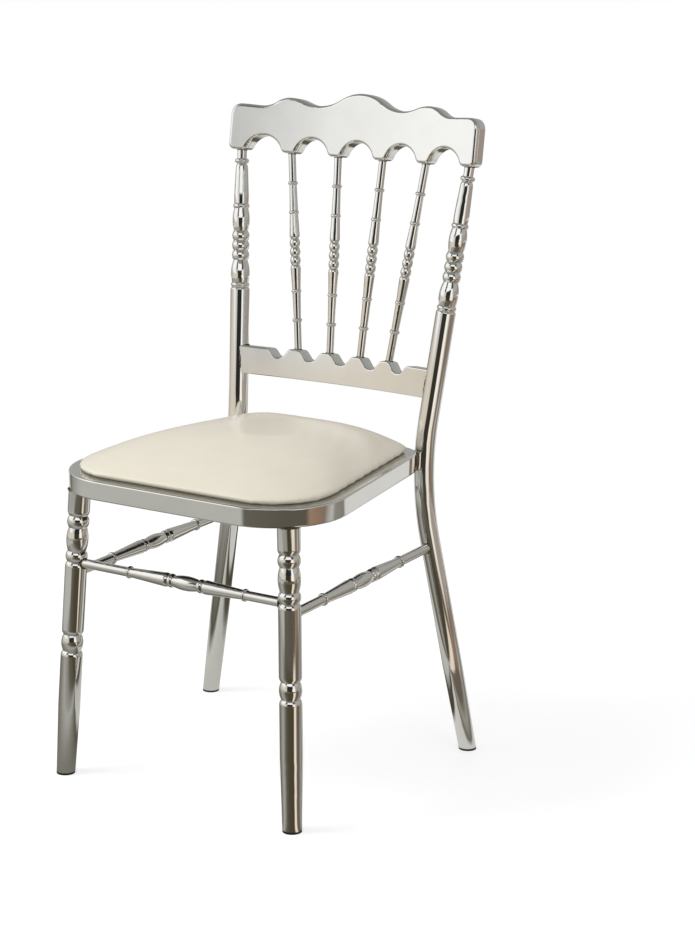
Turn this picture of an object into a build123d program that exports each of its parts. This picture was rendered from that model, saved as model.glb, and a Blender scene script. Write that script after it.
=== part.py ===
from build123d import *
import os
from math import sqrt

# Banquet chair: a welded frame of turned stainless steel tube, a fanned back of four spindles between a
# scalloped crest rail and a lower rail, three turned stretchers and a padded seat screwed on from below.
# Millimetres, +Z up, the front of the chair towards -Y, the origin on the floor under the chair's middle.

# Seat frame: a hoop of square tube, drawn as a belt round two front and two rear corner circles
frame_z = 400.0
frame_tube_height = 26.0
frame_tube_width = 28.0
frame_tube_wall = 1.5
frame_edge_radius = 2.5
frame_front_y = -246.3
frame_front_corner_x = 109.6
frame_front_corner_radius = 98.0
frame_rear_corner_radius = 42.0
frame_rear_corner_bearing = 42.0
frame_vent_radius = 4.0

# Front legs: turned tubes under the frame's front corners
front_leg_bearing = 44.3
front_foot_out = 19.1
front_foot_ahead = 23.6
front_leg_radius = 15.0
front_foot_radius = 12.8
front_leg_waist = 12.4
front_leg_wall = 1.5
front_taper_height = 98.0
front_low_ring_height = 187.0
front_low_ring_length = 23.0
front_ring_height = 308.3
front_ring_length = 14.6
front_barrel_length = 32.4
front_top_ring_length = 16.4
front_shoulder = 6.8

# Rear legs: bent tubes that go on up as the turned posts of the back
rear_foot_x = 224.9
rear_foot_y = 152.2
knee_x = 154.3
knee_y = 130.5
knee_z = 388.0
rear_bend_radius = 500.0
rear_leg_radius = 13.8
rear_foot_radius = 12.2
rear_leg_wall = 1.5
rear_taper_height = 120.0
weld_bite = 2.6

# Turned posts, measured down from the crest
post_top_x = 189.5
post_top_y = 198.5
post_neck_radius = 6.8
post_bore_radius = 5.3
post_top_collar_distance = 16.0
post_top_collar_radius = 10.2
post_cone_top_radius = 8.9
post_cone_foot_radius = 10.6
post_collar_length = 7.0
post_collar_radius = 11.8
post_middle_distance = 137.0
post_collar_offset = 56.5
post_waist_radius = 10.2
post_ring_length = 14.0
post_ring_radius = 12.5
post_upper_vase_radius = 12.3
post_lower_vase_radius = 13.4
post_foot_waist_radius = 11.8

# Crest rail: two pressed shells, curved in plan, with a lobe over each post and spindle
crest_z = 812.4
crest_half_width = 204.5
crest_sag = 21.4
crest_thickness = 25.0
crest_wall = 2.0
crest_centre_height = 90.2
crest_inner_dip_x = 70.0
crest_inner_dip_height = 69.5
crest_hump_x = 115.0
crest_hump_height = 78.4
crest_outer_dip_x = 158.0
crest_outer_dip_height = 64.9
crest_shoulder_x = 185.0
crest_shoulder_height = 65.6
crest_end_corner_radius = 15.0
crest_lobe_width = 22.0
crest_arch_height = 22.5
crest_lobe_corner_radius = 8.0
crest_edge_radius = 4.5
spindle_pitch_at_crest = 74.6

# Lower back rail: two pressed shells between the posts, with a bump under each spindle
rail_z = 498.0
rail_sag = 25.9
rail_thickness = 24.0
rail_wall = 1.5
rail_bump_height = 42.0
rail_bump_width = 16.0
rail_bump_corner_radius = 8.0
rail_dip_height = 28.0
rail_dip_width = 12.0
rail_dip_corner_radius = 11.0
rail_shoulder_x = 117.0
rail_shoulder_height = 40.0
rail_edge_radius = 2.5
rail_foot_chamfer = 1.0
spindle_pitch_at_rail = 51.4

# Seam of both rails, behind their front faces
seam_depth = 7.0
seam_groove_width = 1.0
seam_groove_depth = 0.6

# Spindles: slim turned tubes, alike above and below their middle
spindle_radius = 5.2
spindle_bore_radius = 3.7
spindle_collar_radius = 7.1
spindle_collar_length = 5.0
spindle_outer_collar = 97.5
spindle_inner_collar = 56.0
spindle_cone_radius = 6.0
spindle_swell_radius = 7.3
spindle_shoulder = 5.0
spindle_waist_radius = 5.6
spindle_ring_radius = 7.5
spindle_ring_length = 12.4

# Stretchers: one across the front and one along each side, alike but for their lengths
front_stretcher_z = 299.0
front_stretcher_shift = 11.5
side_stretcher_front_z = 283.5
side_stretcher_rear_z = 292.0
side_stretcher_shift = -4.0
stretcher_radius = 6.5
stretcher_bore_radius = 5.0
stretcher_collar_radius = 8.6
stretcher_collar_length = 5.0
stretcher_collar_distance = 94.0
stretcher_swell_radius = 9.6
stretcher_shoulder = 5.0
stretcher_waist_radius = 7.4
stretcher_ring_radius = 9.4
stretcher_ring_length = 8.0
stretcher_ring_distance = 24.0
stretcher_barrel_radius = 10.0

# Plastic glides pressed into the feet
glide_flange = 3.0
glide_plug_length = 16.0
glide_clearance = 0.2

# Seat pad: plywood board, foam and a cover turned under the board's edge
pad_inset = 13.0
pad_tuck = 3.0
pad_edge_height = 6.0
pad_crown = 45.0
pad_crown_y = 10.0
pad_crown_power = 3.2
pad_crown_roundness = 0.75
pad_section_shares = (1.0, 0.8, 0.5, 0.2)
cover_thickness = 1.2
cover_hem = 22.0
board_thickness = 9.0
board_edge_gap = 15.0

# Tabs on the inside of the frame, and the screws that hold the board down on them
tab_width = 40.0
tab_reach = 26.0
tab_thickness = 3.0
tab_front_x = 75.0
tab_rear_x = 60.0
screw_distance = 15.0
screw_radius = 2.4
screw_head_radius = 4.6
screw_head_height = 2.6
screw_bite = 7.0

# Length that a piece runs past a plane or a neighbour before it is cut to it
overrun = 12.0

frame_top = frame_z + frame_tube_height
upright = Vector(0, 0, 1)
forwards = Vector(0, -1, 0)


def turning_plane(start, end, normal):
    """Plane for a half profile: local X is the radius and local Y runs from start to end."""
    along = (end - start).normalized()
    across = along.cross(normal).normalized()
    return Plane(origin=start, x_dir=across, z_dir=across.cross(along))


def at_height(start, end, z):
    """Point at height z on the straight line through two points."""
    return start + (end - start) * ((z - start.Z) / (end.Z - start.Z))


def ring(middle, length, waist, crown):
    """Half-round ring or barrel of a turned profile, from waist to waist."""
    ThreePointArc((waist, middle - length / 2), (crown, middle), (waist, middle + length / 2))


def shoulder(radius, edge, waist, end):
    """Rounded end of a plain length: tangent to the tube at its edge, down to the waist at end."""
    TangentArc((radius, edge), (waist, end), tangent=(0, end - edge))


def path_point(path, z):
    """Point of a rising path at height z."""
    low = 0.0
    high = 1.0
    for _ in range(40):
        middle = (low + high) / 2
        if (path @ middle).Z < z:
            low = middle
        else:
            high = middle
    return path @ low


# Centre lines of the right rear leg and its post
rear_foot = Vector(rear_foot_x, rear_foot_y, 0)
knee = Vector(knee_x, knee_y, knee_z)
post_top = Vector(post_top_x, post_top_y, crest_z)
rear_leg_plane = turning_plane(rear_foot, knee, forwards)
rear_leg_axis = Axis(rear_foot, knee - rear_foot)
post_plane = turning_plane(post_top, knee, forwards)
post_axis = Axis(post_top, knee - post_top)
post_foot_distance = post_middle_distance + post_collar_offset + post_collar_length
rear_taper_top = at_height(rear_foot, knee, rear_taper_height)
post_foot = post_plane.from_local_coords(Vector(0, post_foot_distance, 0))
rear_path = FilletPolyline(rear_taper_top, knee, post_foot, radius=rear_bend_radius)

# Corner circles of the seat frame: the rear ones bite into the rear legs
seat_corner = path_point(rear_path, frame_z + frame_tube_height / 2)
rear_corner_reach = frame_rear_corner_radius + rear_leg_radius - weld_bite
rear_corner_offset = Vector(rear_corner_reach, 0, 0).rotate(Axis.Z, frame_rear_corner_bearing)
rear_corner = Vector(seat_corner.X - rear_corner_offset.X, seat_corner.Y - rear_corner_offset.Y, 0)
front_corner = Vector(frame_front_corner_x, frame_front_y + frame_front_corner_radius, 0)
frame_rear_y = rear_corner.Y + frame_rear_corner_radius

# Centre line of the right front leg, which stands under the middle of the tube
tube_middle_radius = frame_front_corner_radius - frame_tube_width / 2
front_leg_offset = Vector(tube_middle_radius, 0, 0).rotate(Axis.Z, -front_leg_bearing)
front_top = front_corner + front_leg_offset + upright * frame_z
front_foot = Vector(front_top.X + front_foot_out, front_top.Y - front_foot_ahead, 0)
front_leg_plane = turning_plane(front_foot, front_top, forwards)
front_leg_axis = Axis(front_foot, front_top - front_foot)
front_leg_length = (front_top - front_foot).length

# Planes of the leaning back: a rail's outline lies on its face plane, its curve on its plan plane
post_rise = post_top - knee
back_up = Vector(0, post_rise.Y, post_rise.Z).normalized()
back_forwards = Vector(1, 0, 0).cross(back_up)
rail_end = at_height(knee, post_top, rail_z)
crest_origin = Vector(0, post_top.Y, crest_z)
rail_origin = Vector(0, rail_end.Y, rail_z)
crest_face = Plane(origin=crest_origin, x_dir=(1, 0, 0), z_dir=back_forwards)
crest_plan = Plane(origin=crest_origin, x_dir=(1, 0, 0), z_dir=back_up)
rail_face = Plane(origin=rail_origin, x_dir=(1, 0, 0), z_dir=back_forwards)
rail_plan = Plane(origin=rail_origin, x_dir=(1, 0, 0), z_dir=back_up)


def arc_radius(half_chord, sag):
    """Radius of an arc from its half chord and its sag."""
    return (half_chord**2 + sag**2) / (2 * sag)


def arc_depth(half_chord, sag, x):
    """Distance of the arc behind its chord at x."""
    radius = arc_radius(half_chord, sag)
    return sag - radius + sqrt(radius**2 - x**2)


def front_leg_core():
    """Solid inside the front leg's plain outside, which the stretchers are cut to."""
    with BuildPart() as core:
        with BuildSketch(Plane(front_foot, z_dir=front_top - front_foot)):
            Circle(front_leg_radius)
        extrude(amount=front_leg_length)
    return core.part


def rear_leg_core():
    """Solid inside the rear leg's plain outside, which the frame, rail and stretchers are cut to."""
    with BuildPart() as core:
        with BuildSketch(Plane(rear_path @ 0, z_dir=rear_path % 0)):
            Circle(rear_leg_radius)
        sweep(path=rear_path)
    return core.part


front_core_right = front_leg_core()
front_core_left = front_core_right.mirror(Plane.YZ)
rear_core_right = rear_leg_core()
rear_core_left = rear_core_right.mirror(Plane.YZ)
pieces = {}


# Front legs
low_ring_start = front_low_ring_height - front_low_ring_length / 2
low_ring_end = front_low_ring_height + front_low_ring_length / 2
upper_ring_start = front_ring_height - front_ring_length / 2
barrel_start = front_ring_height + front_ring_length / 2
barrel_end = barrel_start + front_barrel_length
top_ring_end = barrel_end + front_top_ring_length
front_bore = front_leg_radius - front_leg_wall
front_waist_bore = front_leg_waist - front_leg_wall
front_foot_bore = front_foot_radius - front_leg_wall

with BuildPart() as front_leg_right:
    with BuildSketch(front_leg_plane):
        with BuildLine():
            Polyline(
                (front_foot_bore, -overrun),
                (front_foot_radius, -overrun),
                (front_foot_radius, 0),
                (front_leg_radius, front_taper_height),
                (front_leg_radius, low_ring_start - front_shoulder),
            )
            shoulder(front_leg_radius, low_ring_start - front_shoulder, front_leg_waist, low_ring_start)
            ring(front_low_ring_height, front_low_ring_length, front_leg_waist, front_leg_radius)
            shoulder(front_leg_radius, low_ring_end + front_shoulder, front_leg_waist, low_ring_end)
            Line(
                (front_leg_radius, low_ring_end + front_shoulder),
                (front_leg_radius, upper_ring_start - front_shoulder),
            )
            shoulder(front_leg_radius, upper_ring_start - front_shoulder, front_leg_waist, upper_ring_start)
            ring(front_ring_height, front_ring_length, front_leg_waist, front_leg_radius)
            ring((barrel_start + barrel_end) / 2, front_barrel_length, front_leg_waist, front_leg_radius)
            ring((barrel_end + top_ring_end) / 2, front_top_ring_length, front_leg_waist, front_leg_radius)
            shoulder(front_leg_radius, top_ring_end + front_shoulder, front_leg_waist, top_ring_end)
            Polyline(
                (front_leg_radius, top_ring_end + front_shoulder),
                (front_leg_radius, front_leg_length + overrun),
                (front_waist_bore, front_leg_length + overrun),
                (front_waist_bore, upper_ring_start - 2 * front_shoulder),
                (front_bore, upper_ring_start - 3 * front_shoulder),
                (front_bore, low_ring_end + 3 * front_shoulder),
                (front_waist_bore, low_ring_end + 2 * front_shoulder),
                (front_waist_bore, low_ring_start - 2 * front_shoulder),
                (front_bore, low_ring_start - 3 * front_shoulder),
                (front_bore, front_taper_height),
                (front_foot_bore, 0),
                (front_foot_bore, -overrun),
            )
        make_face()
    revolve(axis=front_leg_axis)
    split(bisect_by=Plane.XY.offset(glide_flange), keep=Keep.TOP)
    split(bisect_by=Plane.XY.offset(frame_z), keep=Keep.BOTTOM)
pieces["front_leg_right"] = front_leg_right.part

# Rear legs: tapered foot, bent tube and turned post
rear_bore = rear_leg_radius - rear_leg_wall
rear_foot_bore = rear_foot_radius - rear_leg_wall
rear_taper_length = (rear_taper_top - rear_foot).length
top_collar_start = post_top_collar_distance - post_collar_length / 2
top_collar_end = post_top_collar_distance + post_collar_length / 2
upper_collar = post_middle_distance - post_collar_offset
lower_collar = post_middle_distance + post_collar_offset
upper_collar_start = upper_collar - post_collar_length / 2
cone_start = top_collar_end + post_collar_length
cone_end = upper_collar - 2 * post_collar_length
upper_vase_start = upper_collar + post_collar_length / 2
lower_vase_end = lower_collar - post_collar_length / 2
rings_start = post_middle_distance - 1.5 * post_ring_length
rings_end = post_middle_distance + 1.5 * post_ring_length
upper_vase_length = rings_start - upper_vase_start
lower_vase_length = lower_vase_end - rings_end
post_waist_bore = post_waist_radius - rear_leg_wall

with BuildPart() as rear_leg_right:
    with BuildSketch(rear_leg_plane):
        with BuildLine():
            Polyline(
                (rear_foot_bore, -overrun),
                (rear_foot_radius, -overrun),
                (rear_foot_radius, 0),
                (rear_leg_radius, rear_taper_length),
                (rear_bore, rear_taper_length),
                (rear_foot_bore, 0),
                close=True,
            )
        make_face()
    revolve(axis=rear_leg_axis)
    with BuildSketch(Plane(rear_path @ 0, z_dir=rear_path % 0)):
        Circle(rear_leg_radius)
        Circle(rear_bore, mode=Mode.SUBTRACT)
    sweep(path=rear_path)
    with BuildSketch(post_plane):
        with BuildLine():
            Polyline(
                (post_bore_radius, -overrun),
                (post_neck_radius, -overrun),
                (post_neck_radius, top_collar_start),
            )
            ring(post_top_collar_distance, post_collar_length, post_neck_radius, post_top_collar_radius)
            shoulder(post_cone_top_radius, cone_start, post_neck_radius, top_collar_end)
            Line((post_cone_top_radius, cone_start), (post_cone_foot_radius, cone_end))
            shoulder(post_cone_foot_radius, cone_end, post_waist_radius, upper_collar_start)
            ring(upper_collar, post_collar_length, post_waist_radius, post_collar_radius)
            ring(
                upper_vase_start + upper_vase_length / 2,
                upper_vase_length,
                post_waist_radius,
                post_upper_vase_radius,
            )
            for step in (-1, 0, 1):
                middle = post_middle_distance + step * post_ring_length
                ring(middle, post_ring_length, post_waist_radius, post_ring_radius)
            ThreePointArc(
                (post_waist_radius, rings_end),
                (post_lower_vase_radius, rings_end + lower_vase_length / 2),
                (post_foot_waist_radius, lower_vase_end),
            )
            ring(lower_collar, post_collar_length, post_foot_waist_radius, post_lower_vase_radius)
            shoulder(
                rear_leg_radius,
                post_foot_distance,
                post_foot_waist_radius,
                lower_collar + post_collar_length / 2,
            )
            Polyline(
                (rear_leg_radius, post_foot_distance),
                (rear_bore, post_foot_distance),
                (post_waist_bore, lower_vase_end),
                (post_waist_bore, upper_collar),
                (post_bore_radius, cone_end),
                (post_bore_radius, -overrun),
            )
        make_face()
    revolve(axis=post_axis)
    split(bisect_by=Plane.XY.offset(glide_flange), keep=Keep.TOP)
    split(bisect_by=crest_plan, keep=Keep.BOTTOM)
pieces["rear_leg_right"] = rear_leg_right.part


# Glides: a flange under the tube's end and a plug in its bore, cut level with the floor
def glide(foot, top, foot_radius, bore):
    """Glide for one foot, on the leg's own centre line."""
    below = foot - (top - foot).normalized() * overrun
    with BuildPart() as body:
        with BuildSketch(Plane(below, z_dir=top - foot)):
            Circle(foot_radius)
        extrude(amount=2 * overrun)
        split(bisect_by=Plane.XY.offset(glide_flange), keep=Keep.BOTTOM)
        with BuildSketch(Plane(below, z_dir=top - foot)):
            Circle(bore - glide_clearance)
        extrude(amount=overrun + glide_plug_length)
        split(bisect_by=Plane.XY, keep=Keep.TOP)
    return body.part


pieces["front_glide_right"] = glide(front_foot, front_top, front_foot_radius, front_foot_bore)
pieces["rear_glide_right"] = glide(rear_foot, knee, rear_foot_radius, rear_foot_bore)


# Pressed rails
def curved_slab(face, plan, outline, half_chord, sag, front, back, height):
    """Outline pushed through the rail's face plane and trimmed to a band that is curved in plan."""
    radius = arc_radius(half_chord, sag)
    with BuildPart() as slab:
        with BuildSketch(face):
            add(outline)
        extrude(amount=sag + front + back + overrun, both=True)
        with BuildSketch(plan.offset(-overrun)):
            with Locations((0, sag - radius)):
                Circle(radius + back)
                Circle(radius - front, mode=Mode.SUBTRACT)
        extrude(amount=height + 2 * overrun, mode=Mode.INTERSECT)
    return slab.part


def pressed_shells(
    face, plan, outline, size, thickness, height, wall, edge_radius, end_bite=0, foot_chamfer=0
):
    """Front and back shell of a hollow rail, with rounded edges and a groove at their seam.

    The hollow stops short of what bites into the rail's ends, so that they keep their end walls.
    A rail that is level below has its two long lower edges chamfered.
    """
    front = thickness / 2
    seam = front - seam_depth
    hollow = curved_slab(face, plan, outline(wall, end_bite), *size, front - wall, front - wall, height)
    groove_floor = curved_slab(face, plan, outline(seam_groove_depth), *size, front, front, height)
    groove_band = curved_slab(face, plan, outline(0), *size, seam, seam_groove_width - seam, height)
    with BuildPart() as rail:
        add(curved_slab(face, plan, outline(0), *size, front, front, height))
        rims = rail.faces().sort_by(SortBy.AREA)[-2:].edges()
        lower = rims.sort_by(SortBy.LENGTH)[-2:] if foot_chamfer else []
        fillet([edge for edge in rims if edge not in lower], edge_radius)
        if foot_chamfer:
            rims = rail.faces().sort_by(SortBy.AREA)[-2:].edges()
            chamfer(rims.sort_by(SortBy.LENGTH)[-2:], foot_chamfer)
        add(hollow, mode=Mode.SUBTRACT)
    with BuildPart() as front_shell:
        add(rail.part)
        add(curved_slab(face, plan, outline(-overrun), *size, front, -seam, height), mode=Mode.INTERSECT)
    with BuildPart() as back_shell:
        add(rail.part)
        add(curved_slab(face, plan, outline(-overrun), *size, seam, front, height), mode=Mode.INTERSECT)
        add(groove_band - groove_floor, mode=Mode.SUBTRACT)
    return front_shell.part, back_shell.part


def crest_outline(inset, end_inset=0):
    """Crest rail from the front: a wave along the top, a lobe over each upright below."""
    lobes = (spindle_pitch_at_crest / 2, 1.5 * spindle_pitch_at_crest, post_top_x)
    half_lobe = crest_lobe_width / 2
    end_x = crest_half_width - end_inset
    crests = (
        (0, crest_centre_height),
        (crest_inner_dip_x, crest_inner_dip_height),
        (crest_hump_x, crest_hump_height),
        (crest_outer_dip_x, crest_outer_dip_height),
        (crest_shoulder_x, crest_shoulder_height),
    )
    with BuildSketch() as outline:
        with BuildLine():
            for start, end in zip(crests[:-1], crests[1:]):
                halfway = ((start[0] + end[0]) / 2, (start[1] + end[1]) / 2)
                TangentArc(start, halfway, tangent=(1, 0))
                TangentArc(end, halfway, tangent=(-1, 0))
            Polyline(
                (crest_shoulder_x, crest_shoulder_height),
                (end_x, crest_shoulder_height),
                (end_x, 0),
                (lobes[2] - half_lobe, 0),
            )
            for inner, outer in ((lobes[1], lobes[2]), (lobes[0], lobes[1])):
                ThreePointArc(
                    (outer - half_lobe, 0), ((inner + outer) / 2, crest_arch_height), (inner + half_lobe, 0)
                )
                Line((inner + half_lobe, 0), (inner - half_lobe, 0))
            centre_arch_half = lobes[0] - half_lobe
            centre_arch_radius = arc_radius(centre_arch_half, crest_arch_height)
            RadiusArc((centre_arch_half, 0), (0, crest_arch_height), -centre_arch_radius)
            Line((0, crest_arch_height), (0, crest_centre_height))
        make_face()
        fillet(outline.vertices().group_by(Axis.X)[-1].sort_by(Axis.Y)[-1], crest_end_corner_radius)
        fillet(outline.vertices().group_by(Axis.Y)[0], crest_lobe_corner_radius)
        mirror(about=Plane.YZ)
        if inset:
            offset(amount=-inset, mode=Mode.REPLACE)
    return outline.sketch


def rail_outline(inset, end_inset=0):
    """Lower rail from the front: a bump under each spindle, dips between them, level below."""
    bumps = (spindle_pitch_at_rail / 2, 1.5 * spindle_pitch_at_rail)
    dips = (spindle_pitch_at_rail, (bumps[1] + rail_bump_width / 2 + rail_shoulder_x) / 2)
    half_bump = rail_bump_width / 2
    half_dip = rail_dip_width / 2
    end_x = rail_end.X - end_inset
    dip_radius = rail_dip_corner_radius
    bump_radius = rail_bump_corner_radius
    over_bump = (dip_radius, bump_radius, bump_radius, dip_radius)
    with BuildSketch() as outline:
        with BuildLine():
            FilletPolyline(
                (0, rail_dip_height),
                (half_dip, rail_dip_height),
                (bumps[0] - half_bump, rail_bump_height),
                (bumps[0] + half_bump, rail_bump_height),
                (dips[0] - half_dip, rail_dip_height),
                (dips[0] + half_dip, rail_dip_height),
                (bumps[1] - half_bump, rail_bump_height),
                (bumps[1] + half_bump, rail_bump_height),
                (dips[1] - half_dip, rail_dip_height),
                (dips[1] + half_dip, rail_dip_height),
                (rail_shoulder_x, rail_shoulder_height),
                (end_x, rail_shoulder_height),
                radius=(*over_bump, *over_bump, dip_radius, bump_radius),
            )
            Polyline((end_x, rail_shoulder_height), (end_x, 0), (0, 0), (0, rail_dip_height))
        make_face()
        mirror(about=Plane.YZ)
        if inset:
            offset(amount=-inset, mode=Mode.REPLACE)
    return outline.sketch


pieces["crest_front_shell"], pieces["crest_back_shell"] = pressed_shells(
    crest_face,
    crest_plan,
    crest_outline,
    (post_top_x, crest_sag),
    crest_thickness,
    crest_centre_height,
    crest_wall,
    crest_edge_radius,
)
rail_shells = pressed_shells(
    rail_face,
    rail_plan,
    rail_outline,
    (rail_end.X, rail_sag),
    rail_thickness,
    max(rail_bump_height, rail_shoulder_height),
    rail_wall,
    rail_edge_radius,
    end_bite=rear_leg_radius,
    foot_chamfer=rail_foot_chamfer,
)
for name, shell in zip(("rail_front_shell", "rail_back_shell"), rail_shells):
    with BuildPart() as coped:
        add(shell)
        add(rear_core_right, mode=Mode.SUBTRACT)
        add(rear_core_left, mode=Mode.SUBTRACT)
    pieces[name] = coped.part


# Spindles, from the lower rail's bumps to the crest's lobes
def spindle(place):
    """Turned spindle at a place counted in pitches from the middle of the back."""
    top_x = place * spindle_pitch_at_crest
    foot_x = place * spindle_pitch_at_rail
    top_depth = arc_depth(post_top_x, crest_sag, top_x)
    foot_depth = arc_depth(rail_end.X, rail_sag, foot_x)
    top = crest_plan.from_local_coords(Vector(top_x, top_depth, 0))
    foot = rail_plan.from_local_coords(Vector(foot_x, foot_depth, rail_bump_height))
    length = (top - foot).length
    middle = length / 2
    with BuildPart() as body:
        with BuildSketch(turning_plane(foot, top, forwards)):
            with BuildLine():
                for way in (-1, 1):
                    end = middle + way * (middle + overrun)
                    outer = middle + way * spindle_outer_collar
                    inner = middle + way * spindle_inner_collar
                    edge = way * spindle_collar_length / 2
                    waist = middle + way * 1.5 * spindle_ring_length
                    Polyline(
                        (spindle_bore_radius, middle),
                        (spindle_bore_radius, end),
                        (spindle_radius, end),
                        (spindle_radius, outer + edge),
                    )
                    ring(outer, spindle_collar_length, spindle_radius, spindle_collar_radius)
                    Line((spindle_radius, outer - edge), (spindle_cone_radius, inner + edge))
                    ring(inner, spindle_collar_length, spindle_cone_radius, spindle_collar_radius)
                    swell = waist + way * spindle_shoulder
                    Line((spindle_cone_radius, inner - edge), (spindle_swell_radius, swell))
                    shoulder(spindle_swell_radius, swell, spindle_waist_radius, waist)
                    ring(
                        middle + way * spindle_ring_length,
                        spindle_ring_length,
                        spindle_waist_radius,
                        spindle_ring_radius,
                    )
                ring(middle, spindle_ring_length, spindle_waist_radius, spindle_ring_radius)
            make_face()
        revolve(axis=Axis(foot, top - foot))
        split(bisect_by=crest_plan, keep=Keep.BOTTOM)
        split(bisect_by=rail_plan.offset(rail_bump_height), keep=Keep.TOP)
    return body.part


for number, place in enumerate((-1.5, -0.5, 0.5, 1.5), start=1):
    pieces[f"spindle_{number}"] = spindle(place)


# Stretchers
def stretcher(start, end, shift, start_core, end_core):
    """Turned stretcher between two leg centre lines, coped to both legs."""
    length = (end - start).length
    middle = length / 2 + shift
    with BuildPart() as body:
        with BuildSketch(turning_plane(start, end, upright)):
            with BuildLine():
                for way, tip in ((-1, 0), (1, length)):
                    collar = middle + way * stretcher_collar_distance
                    collar_edge = way * stretcher_collar_length / 2
                    bead = middle + way * stretcher_ring_distance
                    waist = bead + way * stretcher_ring_length / 2
                    swell = waist + way * stretcher_shoulder
                    Polyline(
                        (stretcher_bore_radius, middle),
                        (stretcher_bore_radius, tip),
                        (stretcher_radius, tip),
                        (stretcher_radius, collar + collar_edge),
                    )
                    ring(collar, stretcher_collar_length, stretcher_radius, stretcher_collar_radius)
                    Line((stretcher_radius, collar - collar_edge), (stretcher_swell_radius, swell))
                    shoulder(stretcher_swell_radius, swell, stretcher_waist_radius, waist)
                    ring(bead, stretcher_ring_length, stretcher_waist_radius, stretcher_ring_radius)
                barrel_length = 2 * stretcher_ring_distance - stretcher_ring_length
                ring(middle, barrel_length, stretcher_waist_radius, stretcher_barrel_radius)
            make_face()
        revolve(axis=Axis(start, end - start))
        add(start_core, mode=Mode.SUBTRACT)
        add(end_core, mode=Mode.SUBTRACT)
    return body.part


stretcher_right = at_height(front_foot, front_top, front_stretcher_z)
stretcher_left = Vector(-stretcher_right.X, stretcher_right.Y, stretcher_right.Z)
side_front = at_height(front_foot, front_top, side_stretcher_front_z)
side_rear = path_point(rear_path, side_stretcher_rear_z)
pieces["front_stretcher"] = stretcher(
    stretcher_left, stretcher_right, front_stretcher_shift, front_core_left, front_core_right
)
pieces["side_stretcher_right"] = stretcher(
    side_front, side_rear, side_stretcher_shift, front_core_right, rear_core_right
)


# Seat frame
def seat_outline(inset, share=1.0):
    """Belt round the four corner circles, drawn in by inset, and rounder as share shrinks it to the crown."""
    crown = Vector(0, pad_crown_y, 0)
    back = Vector(0, 1, 0)
    centre_share = share * (1 - pad_crown_roundness * (1 - share))
    front = crown + (front_corner - crown) * centre_share
    rear = crown + (rear_corner - crown) * centre_share
    front_radius = (frame_front_corner_radius - inset) * share + front_corner.X * (share - centre_share)
    rear_radius = (frame_rear_corner_radius - inset) * share + rear_corner.X * (share - centre_share)
    reach = rear - front
    lean = (front_radius - rear_radius) / reach.length
    outwards = reach.normalized() * lean + reach.cross(upright).normalized() * sqrt(1 - lean**2)
    right = (
        front - back * front_radius,
        front + (outwards - back).normalized() * front_radius,
        front + outwards * front_radius,
        rear + outwards * rear_radius,
        rear + (outwards + back).normalized() * rear_radius,
        rear + back * rear_radius,
    )
    left = [Vector(-point.X, point.Y, 0) for point in reversed(right)]
    with BuildSketch() as outline:
        with BuildLine():
            for near, far in ((right, left), (left, right)):
                ThreePointArc(near[0], near[1], near[2])
                Line(near[2], near[3])
                ThreePointArc(near[3], near[4], near[5])
                Line(near[5], far[0])
        make_face()
    return outline.sketch


with BuildPart() as seat_frame:
    with BuildSketch(Plane.XY.offset(frame_z)):
        add(seat_outline(0))
        add(seat_outline(frame_tube_width), mode=Mode.SUBTRACT)
    extrude(amount=frame_tube_height)
    fillet(seat_frame.faces().filter_by(Axis.Z).edges(), frame_edge_radius)
    with BuildSketch(Plane.XY.offset(frame_z + frame_tube_wall)):
        add(seat_outline(frame_tube_wall))
        add(seat_outline(frame_tube_width - frame_tube_wall), mode=Mode.SUBTRACT)
    extrude(amount=frame_tube_height - 2 * frame_tube_wall, mode=Mode.SUBTRACT)
    with BuildSketch(Plane.XY.offset(frame_z)):
        with Locations((front_top.X, front_top.Y), (-front_top.X, front_top.Y)):
            Circle(frame_vent_radius)
    extrude(amount=frame_tube_height / 2, mode=Mode.SUBTRACT)
    add(rear_core_right, mode=Mode.SUBTRACT)
    add(rear_core_left, mode=Mode.SUBTRACT)
pieces["seat_frame"] = seat_frame.part

# Tabs and screws
tab_top = frame_top - frame_edge_radius
tab_bottom = tab_top - tab_thickness
front_inner_y = frame_front_y + frame_tube_width
rear_inner_y = frame_rear_y - frame_tube_width
screw_places = (
    (tab_front_x, front_inner_y + screw_distance),
    (-tab_front_x, front_inner_y + screw_distance),
    (tab_rear_x, rear_inner_y - screw_distance),
    (-tab_rear_x, rear_inner_y - screw_distance),
)


def seat_tab(x, wall_y, reach, screw_place):
    """Flat tab welded to the inside of the frame, with its screw hole."""
    with BuildPart() as tab:
        with BuildSketch(Plane.XY.offset(tab_bottom)):
            with Locations((x, wall_y + reach / 2)):
                Rectangle(tab_width, abs(reach))
            with Locations(screw_place):
                Circle(screw_radius, mode=Mode.SUBTRACT)
        extrude(amount=tab_thickness)
    return tab.part


pieces["front_tab_right"] = seat_tab(tab_front_x, front_inner_y, tab_reach, screw_places[0])
pieces["rear_tab_right"] = seat_tab(tab_rear_x, rear_inner_y, -tab_reach, screw_places[2])

board_z = frame_top + cover_thickness
screw_length = board_z + screw_bite - tab_bottom
with BuildPart() as seat_screws:
    with BuildSketch(Plane.XY.offset(tab_bottom - screw_head_height)):
        with Locations(*screw_places):
            Circle(screw_head_radius)
    extrude(amount=screw_head_height)
    with BuildSketch(Plane.XY.offset(tab_bottom)):
        with Locations(*screw_places):
            Circle(screw_radius)
    extrude(amount=screw_length)
pieces["seat_screws"] = seat_screws.part

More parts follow.
